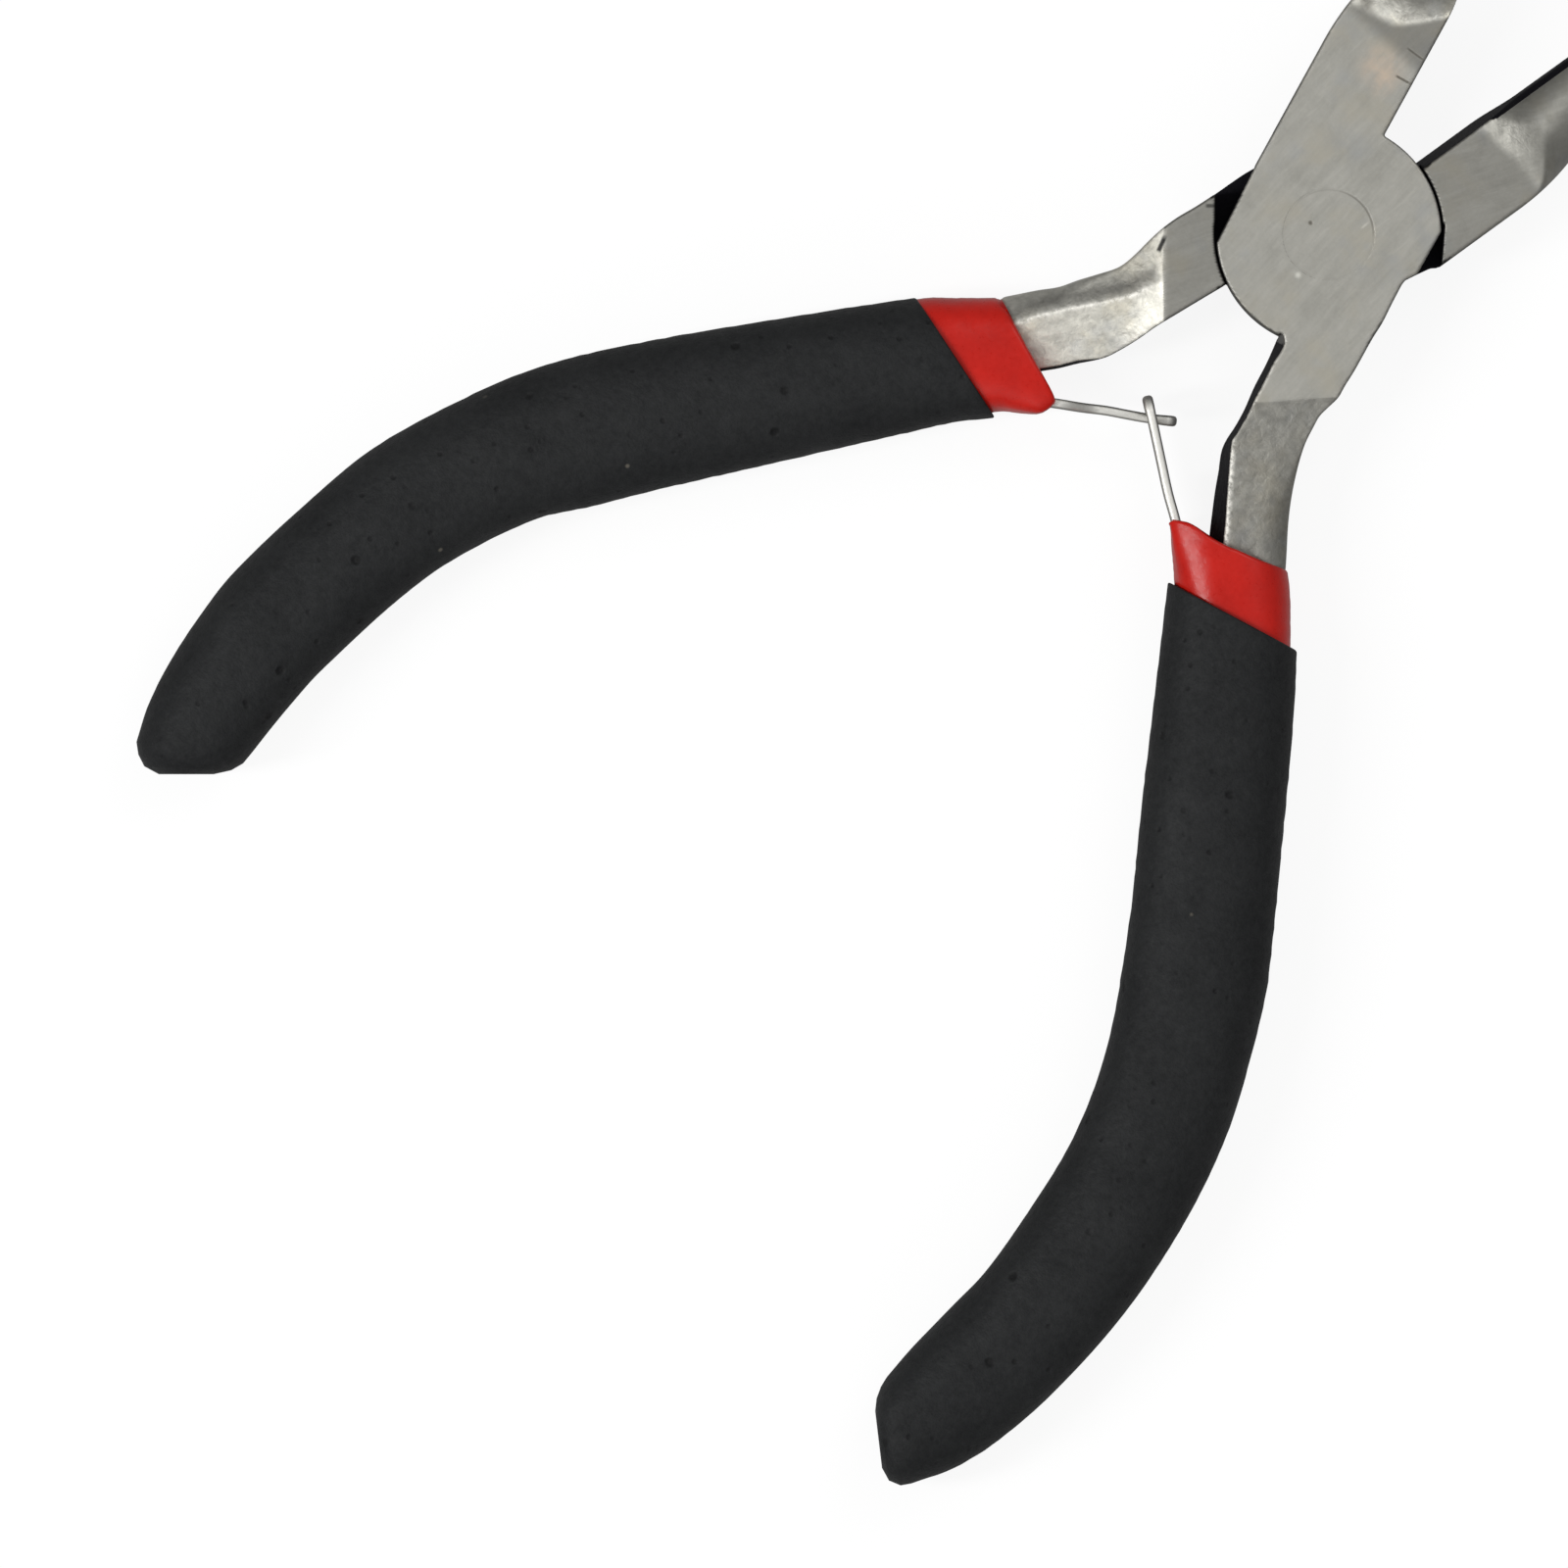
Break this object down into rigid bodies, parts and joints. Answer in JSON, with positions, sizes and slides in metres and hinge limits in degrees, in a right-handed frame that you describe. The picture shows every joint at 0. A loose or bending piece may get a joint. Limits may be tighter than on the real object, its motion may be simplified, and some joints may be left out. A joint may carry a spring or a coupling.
{
  "type": "round nose pliers",
  "caption": "Small lap-joint round nose pliers with tapering round jaws, crossed leaf springs that hold them open, and two-layer dipped handle grips.",
  "frame": {"origin": "on the pivot axis, in the plane of the joint's ground underside", "axes": "+Z along the pivot axis towards the joint's upper face, +Y along the bisector towards the jaws, +X towards the handle of the lever that lies on top at the joint"},
  "size_m": [0.0816, 0.1174, 0.0096],
  "materials": {
    "tool_steel": "ground, with black forged sides and recesses",
    "spring_steel": "bright rolled",
    "red_pvc": "glossy dipped",
    "black_pvc": "matte, finely pitted"
  },
  "bodies": {
    "lever_a_side": {"lever_a": "tool_steel", "pivot_rivet": "tool_steel", "spring_leaf_a_clamped_end": "spring_steel", "leaf_rivet_a": "spring_steel", "inner_sleeve_a": "red_pvc", "outer_grip_a": "black_pvc"},
    "lever_b_side": {"lever_b": "tool_steel", "spring_leaf_b_clamped_end": "spring_steel", "leaf_rivet_b": "spring_steel", "inner_sleeve_b": "red_pvc", "outer_grip_b": "black_pvc"},
    "leaf_a": {"spring_leaf_a_free_arm": "spring_steel"},
    "leaf_b": {"spring_leaf_b_free_arm": "spring_steel"}
  },
  "joints": [
    {"name": "jaw_pivot", "type": "hinge", "parent": "lever_a_side", "child": "lever_b_side", "pos_m": [0, 0, 0], "axis": [0, 0, 1], "range_deg": [-2, 25]},
    {"name": "leaf_a_flex", "type": "hinge", "parent": "lever_a_side", "child": "leaf_a", "pos_m": [0.0055, -0.02218, 0.0045], "axis": [0, 0, 1], "range_deg": [-34, 3]},
    {"name": "leaf_b_flex", "type": "hinge", "parent": "lever_b_side", "child": "leaf_b", "pos_m": [-0.00615, -0.02178, 0.0045], "axis": [0, 0, 1], "range_deg": [-3, 34]}
  ],
  "couplings": [
    {"joint": "leaf_a_flex", "follows": "jaw_pivot", "ratio": -1.34},
    {"joint": "leaf_b_flex", "follows": "jaw_pivot", "ratio": 1.34}
  ]
}
